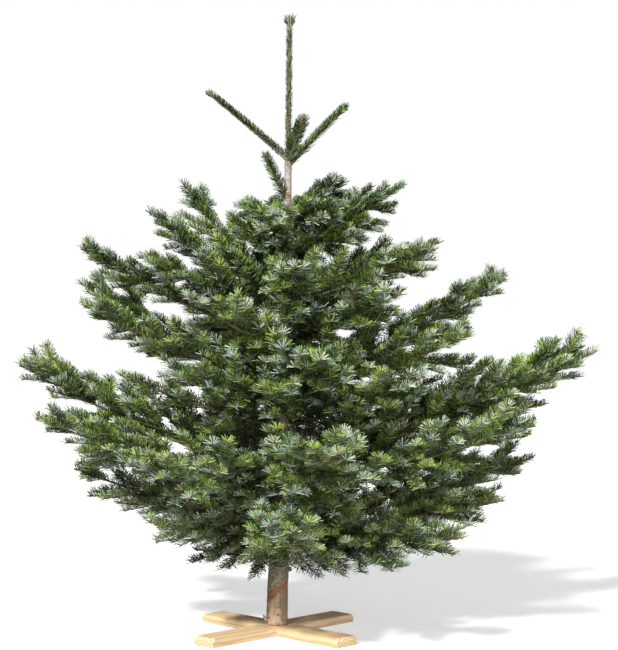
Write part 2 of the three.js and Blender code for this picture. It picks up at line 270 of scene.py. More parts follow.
def dealer(seed):
    """Numbers from -1 to 1, dealt by the same seeded rule as for the solids."""
    state = seed

    def deal():
        nonlocal state
        state = (state * DEAL.times + DEAL.plus) % DEAL.size
        return state / DEAL.size * 2 - 1

    return deal


def unit(vectors):
    """Vectors made one long."""
    return vectors / np.linalg.norm(vectors, axis=-1, keepdims=True)


def dot(first, second):
    """The vectors' products, each with an axis of its own."""
    return np.sum(first * second, axis=-1, keepdims=True)


def trunk_point(height):
    """A place on the leaning axis of the trunk."""
    height = np.asarray(height, float)
    share = np.clip(1 - height / TREE.height, 0, None)
    lean = TREE.lean * (1 - share ** TREE.lean_power)
    return np.stack([lean, np.zeros_like(lean), CUT + height], axis=-1)


def trunk_radius(height):
    """The wood's radius: the trunk's taper up to the leader, which is slimmer."""
    height = np.clip(np.asarray(height, float), 0, TREE.height)
    trunk = TRUNK.foot + (TRUNK.neck - TRUNK.foot) * (height / TRUNK.neck_at) ** TRUNK.taper_power
    share = np.clip((height - TREE.leader_foot) / (TREE.height - TREE.leader_foot), 0, 1)
    leader = LEADER.foot + (LEADER.top - LEADER.foot) * share
    return np.where(height > TREE.leader_foot, leader, trunk)


def point_on(line, t):
    """The point at a share of a Bezier line."""
    t = np.asarray(t, float)[..., None]
    return (line[..., 0, :] * (1 - t) ** 2 + line[..., 1, :] * 2 * t * (1 - t)
            + line[..., 2, :] * t * t)


def heading_on(line, t):
    """Where a Bezier line heads at a share of it."""
    t = np.asarray(t, float)[..., None]
    return unit((line[..., 1, :] - line[..., 0, :]) * (1 - t)
                + (line[..., 2, :] - line[..., 1, :]) * t)


def framed(line, t):
    """The point at a place on a line, and forward, up and side there."""
    forward = heading_on(line, t)
    up = unit(np.array([0.0, 0.0, 1.0]) - forward[..., 2:] * forward)
    return point_on(line, t), forward, up, np.cross(forward, up)


def limb_line(height, belly, turn, reach, rise):
    """A limb's line from the trunk's axis, with its belly hanging under the straight way."""
    foot = trunk_point(height)
    out = np.array([math.cos(math.radians(turn)), math.sin(math.radians(turn)), 0])
    tip = foot + out * reach + np.array([0, 0, rise])
    middle = (foot + tip) / 2 - np.array([0, 0, 2 * belly])
    return np.array([foot, middle, tip])


def side_line(carrier, t, side, lift, wobble, spreads, curl, length, outward=0):
    """A lateral leaves at a wide angle and turns forward, up and outward towards its tip."""
    point, forward, up, across = framed(carrier, t)

    def heading(spread, rise):
        turn = math.radians(spread)
        return unit(forward * math.cos(turn) + across * side * math.sin(turn)
                    + up * math.tan(math.radians(rise)))

    bend = point + heading(spreads[0] + wobble, lift) * length / 2
    out = unit((point - trunk_point(0)) * [1, 1, 0])
    tip = bend + unit(heading(spreads[1] + wobble, lift + curl) + out * outward) * length / 2
    return np.array([point, bend, tip])


def stem_radius(length, t):
    """A stem's radius at a share of its length."""
    return STEM.least + STEM.per_metre * length * (1 - t)


@cache
def limbs():
    """Every limb with its tier, its name, its line and the seed of its growth."""
    found = []
    for tier_number, (name, tier) in enumerate(TIERS.items(), 1):
        for number, (turn, reach, rise) in enumerate(tier.limbs, 1):
            stagger = STAGGER if number % 2 else -STAGGER
            line = limb_line(tier.height + stagger, tier.belly, turn, reach, rise)
            found.append(Sizes(
                tier=tier, tier_name=name, name=f"{name}_{number}", line=line, turn=turn,
                length=math.hypot(reach, rise),
                seed=SEEDS.tier * tier_number + SEEDS.limb * number))
    return found


@cache
def marks():
    """Points along every limb, which distances are measured to."""
    steps = np.linspace(0, 1, MARKS + 1)
    return np.array([point_on(limb.line[None], steps) for limb in limbs()])


def distances(points):
    """How far points are from every limb."""
    start = marks()[:, :-1]
    step = marks()[:, 1:] - start
    offset = points[:, None, None] - start
    share = np.clip(dot(offset, step) / dot(step, step), 0, 1)
    return np.linalg.norm(offset - share * step, axis=-1).min(axis=-1)


def stays_in_space(limb_index, line, room, tip_room, apart):
    """True where the limb is the nearest one all along a line, and the trunk is clear."""
    t = np.array(TESTED)
    rooms = np.where(t < 1, room, tip_room)
    points = point_on(line[None], t)
    away = distances(points)
    own = away[:, limb_index].copy()
    away[:, limb_index] = np.inf
    height = np.clip(points[:, 2] - CUT, 0, TREE.height)
    trunk = np.linalg.norm(trunk_point(height) - points, axis=1) - trunk_radius(height)
    nearest = away.min(axis=1) - own
    return bool(np.all(trunk > rooms + GAP) and np.all(nearest > apart * rooms + GAP))


def planned_laterals(limb):
    """The laterals of a limb, in pairs that lie in turn flatter and steeper, as for the solids."""
    if limb.tier.pitch == 0:
        return
    deal = dealer(limb.seed)
    count = max(1, math.floor((LATERAL.last - LATERAL.first) * limb.length / limb.tier.pitch + 0.5))
    for i in range(count + 1):
        t = LATERAL.first + (LATERAL.last - LATERAL.first) * i / count
        grown = limb.length * ((1 - t) * LATERAL.share + LATERAL.more)
        for side in (-1, 1, 0) if t > LATERAL.riser_from else (-1, 1):
            lift = LATERAL.riser if side == 0 else LATERAL.lifts[(i + (side + 1) // 2) % 4]
            wobble = LATERAL.wobble * deal()
            share = (LATERAL.riser_share if side == 0 else 1) * (1 + LATERAL.uneven * deal())
            yield t, side, lift + wobble / 2, wobble, grown * share


def laterals(limb_index, limb):
    """The planned laterals, shortened until they stay in the limb's space, or skipped."""
    tuft = limb.tier.tuft
    for t, side, lift, wobble, grown in planned_laterals(limb):
        for fit in FITS:
            length = grown * fit
            if length < LEAST_TUFTS * tuft:
                break
            line = side_line(limb.line, t, side, lift, wobble, LATERAL.spreads, LATERAL.curl,
                             length)
            if stays_in_space(limb_index, line, tuft, CORE * tuft, LATERAL.apart):
                foot = LATERAL.foot * stem_radius(limb.length, t)
                yield Shoot(line, length, limb_index, 1, foot, LATERAL.clothed)
                break


def finer(carrier, rule, order, rng):
    """Pairs of side twigs along a shoot, shorter towards its tip, where its space holds them."""
    count = max(1, round(carrier.length * (rule.last - rule.first) / rule.pitch))
    for i in range(count + 1):
        for side in (-1, 1):
            place = i + TWIG.play * rng.uniform(-1, 1)
            t = rule.first + (rule.last - rule.first) * place / count
            t = min(max(t, TWIG.nearest), TWIG.farthest)
            wobble = TWIG.wobble * rng.uniform(-1, 1)
            lift = rule.lifts[(i + (side + 1) // 2) % 4] * (1 - TWIG.flatter * t) + wobble
            grown = carrier.length * ((1 - t) * rule.share + rule.more)
            grown *= 1 + TWIG.uneven * rng.uniform(-1, 1)
            for length in (grown * fit for fit in FITS):
                if length < TWIG.least:
                    break
                line = side_line(carrier.line, t, side, lift, wobble, rule.spreads, TWIG.curl,
                                 length, TWIG.outward)
                if stays_in_space(carrier.limb, line, TWIG.room, 0, TWIG.apart):
                    foot = max(TWIG.foot * carrier.foot * (1 - t), TWIG.slimmest)
                    yield Shoot(line, length, carrier.limb, order, foot, TWIG.clothed)
                    break


def inner_rule(limb):
    """The rule for twigs close to the trunk, as shares of this limb."""
    return Sizes(
        pitch=INNER.pitch, lifts=INNER.lifts, spreads=INNER.spreads, share=0,
        more=min(INNER.grown / limb.length, INNER.share), first=INNER.near / limb.length,
        last=min(INNER.far / limb.length, INNER.most))


@cache
def shoots():
    """All shoots of the tree but the leader: the limbs, their laterals and the finer twigs."""
    grown = []
    for index, limb in enumerate(limbs()):
        rng = np.random.default_rng(limb.seed)
        stem = Shoot(limb.line, limb.length, index, 0, stem_radius(limb.length, 0), TWIG.clothed)
        first = list(laterals(index, limb))
        grown += [stem, *first]
        if not limb.tier.pitch:
            continue
        second = [twig for carrier in first for twig in finer(carrier, FINE, 2, rng)]
        if limb.tier_name not in BRUSHES:
            second += finer(stem, FILLER, 2, rng)
        second += finer(stem, inner_rule(limb), 2, rng)
        if limb.tier_name == "low":
            second += finer(stem, HANGING, 2, rng)
        third = [twig for carrier in second if carrier.length > TWIG.forks_from
                 for twig in finer(carrier, FINE, 3, rng)]
        grown += second + third
    return grown


class Bundle:
    """Vertices and faces that are collected and then made into one mesh."""

    def __init__(self):
        self.points, self.faces, self.finishes, self.count = [], [], [], 0

    def add(self, points, *faces, finish=0):
        """Adds points (n, 3) and faces (m, 3 or 4) that count from 0.

        finish is the number of the faces' material, or one number for each face.
        """
        self.points.append(points)
        self.faces += [own + self.count for own in faces]
        self.finishes += [np.broadcast_to(finish, len(own)) for own in faces]
        self.count += len(points)

    def mesh(self):
        """The mesh of all that was added."""
        points = np.concatenate(self.points)
        sizes = np.concatenate([np.full(len(own), own.shape[1]) for own in self.faces])
        corners = np.concatenate([own.ravel() for own in self.faces])
        mesh = bpy.data.meshes.new("fir")
        mesh.vertices.add(len(points))
        mesh.vertices.foreach_set("co", points.astype(np.float32).ravel())
        mesh.loops.add(len(corners))
        mesh.loops.foreach_set("vertex_index", corners.astype(np.int32))
        mesh.polygons.add(len(sizes))
        mesh.polygons.foreach_set("loop_start", (np.cumsum(sizes) - sizes).astype(np.int32))
        finishes = np.concatenate(self.finishes).astype(np.int32)
        mesh.polygons.foreach_set("material_index", finishes)
        mesh.update(calc_edges=True)
        return mesh


def make_piece(name, mesh, finishes, replaced=(), smooth=False):
    """An object that rides on the part's one body and stands for the replaced CAD nodes."""
    mesh.name = name
    for finish in finishes:
        mesh.materials.append(finish)
    if smooth:
        mesh.shade_smooth()
    else:
        mesh.shade_flat()
    piece = bpy.data.objects.new(name, mesh)
    bpy.context.scene.collection.objects.link(piece)
    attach(piece, "root")
    if replaced:
        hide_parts(*replaced)


def tubes(bundle, lines, radii, shares, sides, finish=0):
    """Tapering stems along Bezier lines, closed at both ends. radii is (lines, shares)."""
    number, rings = radii.shape
    point, _, up, side = framed(lines[:, None], np.broadcast_to(shares, (number, rings)))
    angle = np.arange(sides) * 2 * math.pi / sides
    ring = (up[:, :, None] * np.cos(angle)[:, None] + side[:, :, None] * np.sin(angle)[:, None])
    points = point[:, :, None] + ring * radii[:, :, None, None]
    first = np.arange(number * rings).reshape(number, rings, 1) * sides
    here = first + np.arange(sides)
    after = first + (np.arange(sides) + 1) % sides
    quads = np.stack([here[:, :-1], here[:, 1:], after[:, 1:], after[:, :-1]], axis=-1)
    middle = number * rings * sides + np.arange(number)[:, None]
    foot = np.broadcast_to(middle, (number, sides))
    tip = foot + number
    caps = np.concatenate([
        np.stack([foot, here[:, 0], after[:, 0]], axis=-1).reshape(-1, 3),
        np.stack([tip, after[:, -1], here[:, -1]], axis=-1).reshape(-1, 3)])
    bundle.add(np.concatenate([points.reshape(-1, 3), point[:, 0], point[:, -1]]),
               quads.reshape(-1, 4), caps, finish=finish)


class Flow:
    """A socket of a node tree. Python's operators on it add Math nodes."""

    def __init__(self, nodes, socket):
        self.nodes, self.socket = nodes, socket

    def math(self, operation, first, second, clamp=False):
        return self.nodes.node("ShaderNodeMath", {"operation": operation, "use_clamp": clamp},
                               _0=first, _1=second)

    def __add__(self, other):
        return self.math("ADD", self, other)

    def __sub__(self, other):
        return self.math("SUBTRACT", self, other)

    def __rsub__(self, other):
        return self.math("SUBTRACT", other, self)

    def __mul__(self, other):
        return self.math("MULTIPLY", self, other)

    __radd__ = __add__
    __rmul__ = __mul__

    def clipped(self):
        """The value kept between 0 and 1."""
        return self.math("ADD", self, 0.0, clamp=True)


class Nodes:
    """A node tree, with one method that adds any node to it."""

    def __init__(self, tree):
        self.tree = tree

    def fill(self, socket, value):
        """Links a Flow to a socket, or sets the socket's own value."""
        if isinstance(value, Flow):
            self.tree.links.new(value.socket, socket)
        else:
            socket.default_value = value

    def node(self, kind, settings=None, output=0, **values):
        """Adds a node: its settings are set first, then the values or links of its sockets.

        A socket is named with _ for a space, or by _ and its number.
        """
        node = self.tree.nodes.new(kind)
        for name, setting in (settings or {}).items():
            setattr(node, name, setting)
        for name, value in values.items():
            key = int(name[1:]) if name[0] == "_" else name.replace("_", " ")
            self.fill(node.inputs[key], value)
        return Flow(self, node.outputs[output])


class Finish(Nodes):
    """A material around one Principled shader."""

    def __init__(self, name, color, roughness, **fixed):
        self.material = bpy.data.materials.new(name)
        self.material.use_nodes = True
        super().__init__(self.material.node_tree)
        self.set(Base_Color=(*color, 1), Roughness=roughness, **fixed)

    def set(self, **values):
        """Sets or links sockets of the shader."""
        shader = self.tree.nodes["Principled BSDF"]
        for name, value in values.items():
            self.fill(shader.inputs[name.replace("_", " ")], value)

    def place(self):
        """The place on the object, in metres."""
        return self.node("ShaderNodeTexCoord", output="Object")

    def stretched(self, vector, scale):
        """A vector with each axis scaled, which draws patterns out along the smaller ones."""
        return self.node("ShaderNodeMapping", Vector=vector, Scale=scale)

    def noise(self, vector, scale, detail):
        """Soft noise from 0 to 1."""
        return self.node("ShaderNodeTexNoise", Vector=vector, Scale=scale, Detail=detail,
                         Roughness=0.55)

    def attribute(self, name):
        """A value that the mesh holds at each vertex."""
        return self.node("ShaderNodeAttribute", {"attribute_name": name}, output="Fac")

    def mix(self, share, first, second):
        """Mixes two colours, each a colour or a Flow."""
        whole = [c if isinstance(c, Flow) else (*c, 1) for c in (first, second)]
        return self.node("ShaderNodeMix", {"data_type": "RGBA"}, 2,
                         _0=share, _6=whole[0], _7=whole[1])

    def bump(self, height, strength, distance):
        """Adds fine relief to the shading."""
        self.set(Normal=self.node("ShaderNodeBump", Height=height, Strength=strength,
                                  Distance=distance))


def step_between(value, low, high):
    """0 under low and 1 over high, as a Flow."""
    return ((value - low) * (1 / (high - low))).clipped()


def band_between(value, low, full, fading, high):
    """1 from full to fading, 0 under low and over high."""
    return step_between(value, low, full) * (1 - step_between(value, fading, high))


def bark_finish(colors):
    """Grey bark with blisters and streaks, reddish inner bark and the bare wood of the foot."""
    finish = Finish("bark", colors.bark, 0.86)
    place = finish.place()
    height = finish.node("ShaderNodeSeparateXYZ", Vector=place, output="Z") - CUT
    across = finish.node("ShaderNodeSeparateXYZ", Vector=place, output="X")
    flecks = finish.noise(finish.stretched(place, (1, 1, 2.2)), scale=130.0, detail=7.0)
    patches = finish.noise(place, scale=34.0, detail=4.0)
    streaks = finish.noise(finish.stretched(place, (1, 1, 0.12)), scale=150.0, detail=5.0)
    bark = finish.mix(step_between(flecks, 0.41, 0.6), colors.bark_dark_and_shade, colors.bark)
    bark = finish.mix(step_between(patches, 0.5, 0.72) * 0.7, bark, colors.bark_green)
    # Painted shade: the bark is darkened inside the crown, where the foliage shades it
    bark = finish.mix(band_between(height, *BARK_SHADE) * 0.85, bark, colors.bark_dark_and_shade)
    pale = finish.mix(step_between(flecks, 0.35, 0.62), colors.pale_dark, colors.pale)
    bark = finish.mix(step_between(height, *BARK_PALE), bark, pale)
    rusty = band_between(height, *BARK_RUST) * step_between(flecks, 0.35, 0.6)
    bark = finish.mix(rusty, bark, colors.rust)
    olive = finish.mix(step_between(flecks, 0.4, 0.6), colors.olive_dark, colors.olive)
    bark = finish.mix(step_between(height, *BARK_LEADER), bark, olive)
    inner = finish.mix(step_between(flecks, 0.4, 0.62), colors.inner_dark, colors.inner_bark)
    wood = finish.mix(step_between(streaks, 0.4, 0.7) * 0.45, colors.wood, colors.wood_grain)
    darker_wood = finish.noise(place, scale=55.0, detail=5.0)
    # The bare wood is darker towards +X, its right side
    darker_wood = darker_wood + 0.2 * step_between(across, 0.004, 0.018)
    wood = finish.mix(step_between(darker_wood, 0.42, 0.66) * 0.9, wood, colors.stain)
    layer = finish.attribute("layer")
    color = finish.mix(step_between(layer, 0.25, 0.75), bark, inner)
    color = finish.mix(step_between(layer, 1.25, 1.75), color, wood)
    color = finish.mix(finish.attribute("speck"), color, colors.speck)
    finish.set(Base_Color=color, Roughness=0.78 + flecks * 0.16)
    finish.bump(flecks + patches * 0.5, strength=0.5, distance=0.0012)
    return finish.material


def bough_finish(colors):
    """Brown-grey bark of the limbs, olive and smoother where they are young."""
    finish = Finish("bough_bark", colors.bark, 0.85)
    flecks = finish.noise(finish.place(), scale=260.0, detail=5.0)
    mottled = step_between(flecks, 0.4, 0.65)
    old = finish.mix(mottled, colors.bark_dark_and_shade, colors.bark)
    young = finish.mix(mottled, colors.young_dark, colors.young)
    color = finish.mix(step_between(finish.attribute("young"), 0.35, 0.75), old, young)
    finish.set(Base_Color=color, Roughness=0.75 + flecks * 0.2)
    finish.bump(flecks, strength=0.5, distance=0.0008)
    return finish.material


def pine_finish(name, turn, colors):
    """Planed softwood with its grain along a board that is turned about the upright."""
    finish = Finish(name, colors.pine, 0.62)
    turned = finish.node("ShaderNodeMapping", Vector=finish.place(),
                         Rotation=(0, 0, math.radians(turn)))
    bend = finish.noise(finish.stretched(turned, (1.2, 4, 4)), scale=3.0, detail=2.0)
    grain = finish.node("ShaderNodeTexWave", {"wave_type": "RINGS", "rings_direction": "X"},
                        Vector=finish.stretched(turned, (0.35, 1, 1.6)), Scale=26.0,
                        Distortion=bend * 9.0, Detail=2.0)
    fibres = finish.noise(finish.stretched(turned, (3, 90, 90)), scale=9.0, detail=5.0)
    early = finish.mix(step_between(fibres, 0.35, 0.65), colors.pine, colors.pine_pale)
    color = finish.mix(step_between(grain, 0.35, 0.95) * 0.55, early, colors.pine_grain)
    finish.set(Base_Color=color, Roughness=0.52 + fibres * 0.2)
    finish.bump(fibres + grain * 0.4, strength=0.25, distance=0.0006)
    return finish.material


def steel_finish(color):
    """Drawn steel with fine marks along it."""
    finish = Finish("drawn_steel", color, 0.38, Metallic=1.0)
    marked = finish.stretched(finish.place(), (1, 1, 0.05))
    drawn = finish.noise(marked, scale=900.0, detail=3.0)
    finish.set(Roughness=0.28 + drawn * 0.25)
    finish.bump(drawn, strength=0.2, distance=0.0002)
    return finish.material


def plain(name, color, roughness=0.7, **fixed):
    """A finish that is the same all over."""
    return Finish(name, color, roughness, **fixed).material


def needle_finishes(colors):
    """Greens for the upper faces of needles, from dark to yellowish, and three for the lower."""
    uppers = (colors.dark, colors.deep, colors.blue, colors.middle, colors.fresh, colors.yellow)
    lowers = (colors.silver, colors.silver_blue, colors.silver_green)
    sides = (("upper", uppers, 0.36, 0.4), ("lower", lowers, 0.6, 0.3))
    return [plain(f"needle_{side}_{number}", tone, roughness, Specular_IOR_Level=gloss)
            for side, tones, roughness, gloss in sides for number, tone in enumerate(tones, 1)]


def each(found, name):
    """One value of every shoot."""
    return np.array([getattr(shoot, name) for shoot in found])


def outwardness(found):
    """How far out each shoot lies, and its height.

    0 is at the trunk, and 1 at the crown's outline or in its open top.
    """
    middle = point_on(each(found, "line"), np.full(len(found), CROWN.judged_at))
    height = middle[:, 2]
    crown = CROWN.foot - CROWN.taper * np.clip(height, 0, CROWN.top)
    out = np.hypot(middle[:, 0], middle[:, 1]) / crown
    open_top = (height - CROWN.open_from) / CROWN.open_over
    return np.clip(np.maximum(out, open_top), 0, 1), height


def dealt_tones(found, rng):
    """Each shoot's tone. Fresh greens lie low and outside, dark ones inside as painted shade."""
    out, height = outwardness(found)
    low_inside, outwards, upwards = np.array(TONE_WEIGHTS).T
    # The darkest tone's weight falls outwards: painted shade inside the crown
    darker = low_inside + outwards * out[:, None] + upwards * height[:, None]
    fresh = np.clip(FRESH.low - FRESH.upwards * height, FRESH.least, FRESH.most)
    fresh = fresh * (FRESH.inside + out)
    weights = np.column_stack([darker, fresh, FRESH.yellow * fresh])
    weights[(height > CROWN.dark_from) | (height < CROWN.under)] = CROWN.dark_weights
    ladder = np.cumsum(weights / weights.sum(axis=1, keepdims=True), axis=1)
    return (rng.random(len(found))[:, None] > ladder).sum(axis=1).clip(0, UPPERS - 1)


def add_blades(bundle, base, tip, across, width, tones):
    """Flat, blunt needles."""
    foot = across * width * NEEDLE.foot / 2
    end = across * width * NEEDLE.end / 2
    points = np.stack([base - foot, base + foot, tip + end, tip - end], axis=1)
    bundle.add(points.reshape(-1, 3), np.arange(4 * len(base)).reshape(-1, 4), finish=tones)


def needles_dealt(found, kind, settings):
    """For each needle the shoot it stands on, its number there and how many the shoot has."""
    out, height = outwardness(found)
    thick = NEEDLE.inside + (1 - NEEDLE.inside) * np.where(height < CROWN.under, 1, out)
    wanted = settings.per_metre * kind.crowd * thick
    wanted = wanted * each(found, "length") * (1 - each(found, "clothed"))
    counts = np.maximum(np.round(wanted).astype(int), NEEDLE.fewest)
    which = np.repeat(np.arange(len(found)), counts)
    number = np.arange(len(which)) - np.repeat(np.cumsum(counts) - counts, counts)
    return which, number, counts[which]


def needle_tones(shoot_tones, which, near_tip, under, rng):
    """Each needle's tone: near that of its shoot, or silvery where it shows its lower face."""
    upper = shoot_tones[which] + rng.choice(NEEDLE_STEPS, len(which))
    upper = np.clip(upper, 0, UPPERS - 1)
    rosette = (near_tip > SILVERY.tip_from) & (which * SILVERY.dealt % 1 < SILVERY.shoots)
    lower = np.where(rosette, UPPERS + which % 2, UPPERS + 2)
    shown = np.where(rosette, SILVERY.rosette, SILVERY.along + SILVERY.under * under)
    return np.where(rng.random(len(which)) < shown, lower, upper)


def add_needles(bundle, found, tones, kind, settings, rng):
    """Clothes shoots of one kind in needles that turn about them, few of them underneath."""
    which, number, many = needles_dealt(found, kind, settings)
    jitter = rng.uniform(-1, 1, (5, len(which)))
    # Where along its shoot and how far round it each needle stands
    clothed = each(found, "clothed")[which]
    share = np.clip((number + 0.5 + NEEDLE.play * jitter[0]) / many, 0, 1)
    t = clothed + (1 - clothed) * share ** NEEDLE.crowded
    point, forward, up, side = framed(each(found, "line")[which], t)
    upright = forward[:, 2] ** NEEDLE.upright_power
    turned = number * GOLDEN_TURN + which * NEEDLE.start_turn + NEEDLE.turn_play * jitter[1]
    around = turned % (2 * math.pi) - math.pi
    reach_round = math.radians(kind.lowest)
    around *= (reach_round + (math.pi - reach_round) * upright) / math.pi
    radial = up * np.cos(around)[:, None] + side * np.sin(around)[:, None]
    # How it leans forward, lifts, and turns its face to the sky or outwards
    top = np.clip(np.cos(around), 0, 1) * (1 - upright)
    near_tip = np.clip(1 - (1 - t) * each(found, "length")[which] / NEEDLE.rosette, 0, 1)
    loose = NEEDLE.loose + NEEDLE.loose_tip * near_tip
    lean = NEEDLE.lean - NEEDLE.lean_top * top - NEEDLE.lean_tip * near_tip + loose * jitter[2]
    lean = np.radians(lean) * (1 - kind.pressed)
    along = forward * np.cos(lean)[:, None] + radial * np.sin(lean)[:, None]
    along = unit(along + up * (NEEDLE.lift * (1 - upright))[:, None])
    turned_out = np.maximum(np.maximum(upright, near_tip), NEEDLE.turned_out)[:, None]
    facing = up * (1 - turned_out) + radial * turned_out
    facing = unit(facing - dot(facing, along) * along)
    roll = np.radians(NEEDLE.roll * jitter[3])[:, None]
    across = np.cross(along, facing) * np.cos(roll) - facing * np.sin(roll)
    grown = settings.length * kind.scale * (1 + NEEDLE.uneven * jitter[4])
    grown = grown * (1 - NEEDLE.shorter_top * top) * (1 - NEEDLE.shorter_tip * near_tip)
    foot = each(found, "foot")[which] * (1 - kind.taper * t)
    base = point + radial * (NEEDLE.sunk * foot)[:, None]
    tone = needle_tones(tones, which, near_tip, np.cos(around) < 0, rng)
    add_blades(bundle, base, base + along * grown[:, None], across, settings.width, tone)


def add_buds(bundle, tips, forward, up, size, finish):
    """Blunt buds, one at each tip: a small foot, a wide ring and a point."""
    side = np.cross(forward, up)
    angle = np.arange(BUD.sides) * 2 * math.pi / BUD.sides
    ring = up[:, None] * np.cos(angle)[:, None] + side[:, None] * np.sin(angle)[:, None]
    wide = tips + forward * (BUD.widest * BUD.length * size)[:, None]
    wide = wide[:, None] + ring * (BUD.radius * size)[:, None, None]
    ends = tips + forward * (BUD.length * size)[:, None]
    points = np.concatenate([tips[:, None], wide, ends[:, None]], axis=1)
    here = np.arange(BUD.sides) + 1
    after = here % BUD.sides + 1
    fan = np.stack([np.zeros_like(here), after, here], axis=1)
    end = np.stack([np.full_like(here, BUD.sides + 1), here, after], axis=1)
    faces = np.concatenate([fan, end])
    whole = faces[None] + (np.arange(len(tips)) * (BUD.sides + 2))[:, None, None]
    bundle.add(points.reshape(-1, 3), whole.reshape(-1, 3), finish=np.repeat(finish, len(faces)))


def grouped_by_piece(found):
    """The shoots of neighbouring limbs in one tier, as far as one piece may hold their needles."""
    groups = {}
    for index, limb in enumerate(limbs()):
        own = [shoot for shoot in found if shoot.limb == index]
        groups.setdefault(limb.tier_name, []).append((limb, own))
    for name, carried in groups.items():
        total = sum(shoot.length for _, own in carried for shoot in own)
        parts = math.ceil(total / MOST_METRES)
        for part in range(parts):
            chosen = carried[part * len(carried) // parts:(part + 1) * len(carried) // parts]
            yield (f"{name}_{part + 1}" if parts > 1 else name,
                   [f"foliage_{limb.name}" for limb, _ in chosen],
                   [shoot for _, own in chosen for shoot in own])


def bark_relief(point, angle, height):
    """How far the bark stands out at a place on the trunk, without its knots."""
    wave = Vector((math.cos(angle) * RELIEF.wave_round, math.sin(angle) * RELIEF.wave_round,
                   height * RELIEF.wave_along))
    nearest = noise.voronoi(point * RELIEF.blister_scale)[0][0]
    blister = max(0, 1 - nearest / RELIEF.blister_share)
    age = max(RELIEF.young, 1 - height / TREE.leader_foot)
    return age * (RELIEF.grain * noise.noise(point * RELIEF.grain_scale)
                  + RELIEF.wave * noise.noise(wave) + RELIEF.blister * blister ** 2)


def peel_layer(point, angle, height):
    """0 on bark, 1 on the inner bark and 2 on the bare wood of the peeled foot."""
    ragged = noise.noise(point * PEEL.ragged_scale) * PEEL.ragged
    line = PEEL.height + PEEL.slope * TRUNK.foot * math.cos(angle) + ragged
    band = PEEL.band * (1 - PEEL.band_slope * math.cos(angle)) + PEEL.ragged_band * ragged
    return float(height < line) + float(height < line - band)


def speck_at(point):
    """How dark the wood is specked at a place on the trunk."""
    found = noise.noise(point * SPECK.scale + Vector(SPECK.shift))
    return max(0, found - SPECK.least) * SPECK.strong


def wood_grain(point):
    """Long grain from -1 to 1 on the bare wood."""
    return noise.noise(Vector([c * scale for c, scale in zip(point, PEEL.grain_scales)]))


def knots(height, angle):
    """The swelling of the trunk round the feet of its limbs."""
    swelling = np.zeros_like(height)
    for limb in limbs():
        foot = limb.line[0, 2] - CUT
        turn = (angle - math.radians(limb.turn) + math.pi) % (2 * math.pi) - math.pi
        size = KNOT.rise * (KNOT.more + limb.length) * (KNOT.small if foot > KNOT.small_from else 1)
        swelling += size * np.exp(-((height - foot) / KNOT.high) ** 2 - (turn / KNOT.wide) ** 2)
    return swelling


def set_values(mesh, name, values):
    """Gives a mesh one value for each vertex, which its material reads."""
    data = mesh.attributes.new(name, "FLOAT", "POINT").data
    data.foreach_set("value", values.astype(np.float32))


def closed_rings(points, ends):
    """A mesh of rings of points (rings, sides, 3), closed round the middle of each end."""
    rings, sides, _ = points.shape
    here = np.arange(rings * sides).reshape(rings, sides)
    after = np.roll(here, -1, axis=1)
    quads = np.stack([here[:-1], after[:-1], after[1:], here[1:]], axis=-1).reshape(-1, 4)
    middles = np.full((2, sides), rings * sides) + [[0], [1]]
    low = np.stack([middles[0], after[0], here[0]], axis=-1)
    high = np.stack([middles[1], here[-1], after[-1]], axis=-1)
    bundle = Bundle()
    bundle.add(np.concatenate([points.reshape(-1, 3), ends]), quads, np.concatenate([low, high]))
    return bundle.mesh()


def trunk_mesh():
    """The trunk from its cut to the leader's tip, with its bark's relief and its peeled foot."""
    fine = np.arange(0, RINGS.fine_to, RINGS.fine)
    coarse = np.arange(RINGS.fine_to, TREE.height - RINGS.short, RINGS.coarse)
    heights = np.concatenate([fine, coarse])
    angles = np.arange(RINGS.sides) * 2 * math.pi / RINGS.sides
    height, angle = np.meshgrid(heights, angles, indexing="ij")
    out = np.stack([np.cos(angle), np.sin(angle), np.zeros_like(angle)], axis=-1)
    even = trunk_point(height) + out * trunk_radius(height)[..., None]
    places = [Vector(place) for place in even.reshape(-1, 3)]

    def over_grid(values):
        return np.array(list(values), float).reshape(height.shape)

    relief = over_grid(map(bark_relief, places, angle.ravel(), height.ravel()))
    layer = over_grid(map(peel_layer, places, angle.ravel(), height.ravel()))
    grain = over_grid(map(wood_grain, places))
    peeled = PEEL.grain * grain - PEEL.bark * (PEEL.inner + PEEL.layer * layer)
    depth = np.where(layer > 0, peeled, relief)
    worn = RINGS.worn * np.clip(1 - height / RINGS.worn_over, 0, 1) ** 2
    flare = FLARE.swell * np.clip(1 - height / FLARE.up_to, 0, 1)
    radius = trunk_radius(height) + depth + flare + knots(height, angle) - worn
    points = trunk_point(height) + out * radius[..., None]
    mesh = closed_rings(points, trunk_point(heights[[0, -1]]))
    specks = over_grid(map(speck_at, places)) * (layer > 1)
    for name, values in (("layer", layer.ravel()), ("speck", specks.ravel())):
        set_values(mesh, name, np.append(values, [values[0], 0]))
    return mesh


def stub_mesh():
    """A limb cut off short, and the strips of bark that are torn loose there and at the foot."""
    line = limb_line(STUB.height, 0, STUB.turn, STUB.reach - STUB.torn, STUB.rise)
    radii = STUB.radius * np.array([STUB.swell])
    bundle = Bundle()
    tubes(bundle, line[None], radii, np.array(STUB.shares), STUB.sides)
    points = bundle.points[0]
    rough = [noise.noise(Vector(place) * STUB.rough_scale) for place in points]
    points += unit(points - line[1]) * (STUB.rough * np.array(rough))[:, None]
    for strip in STRIPS:
        shares = np.linspace(0, 1, len(STRIP.radii))
        tubes(bundle, np.array([strip]), np.array([STRIP.radii]), shares, STRIP.sides)
    return bundle.mesh()


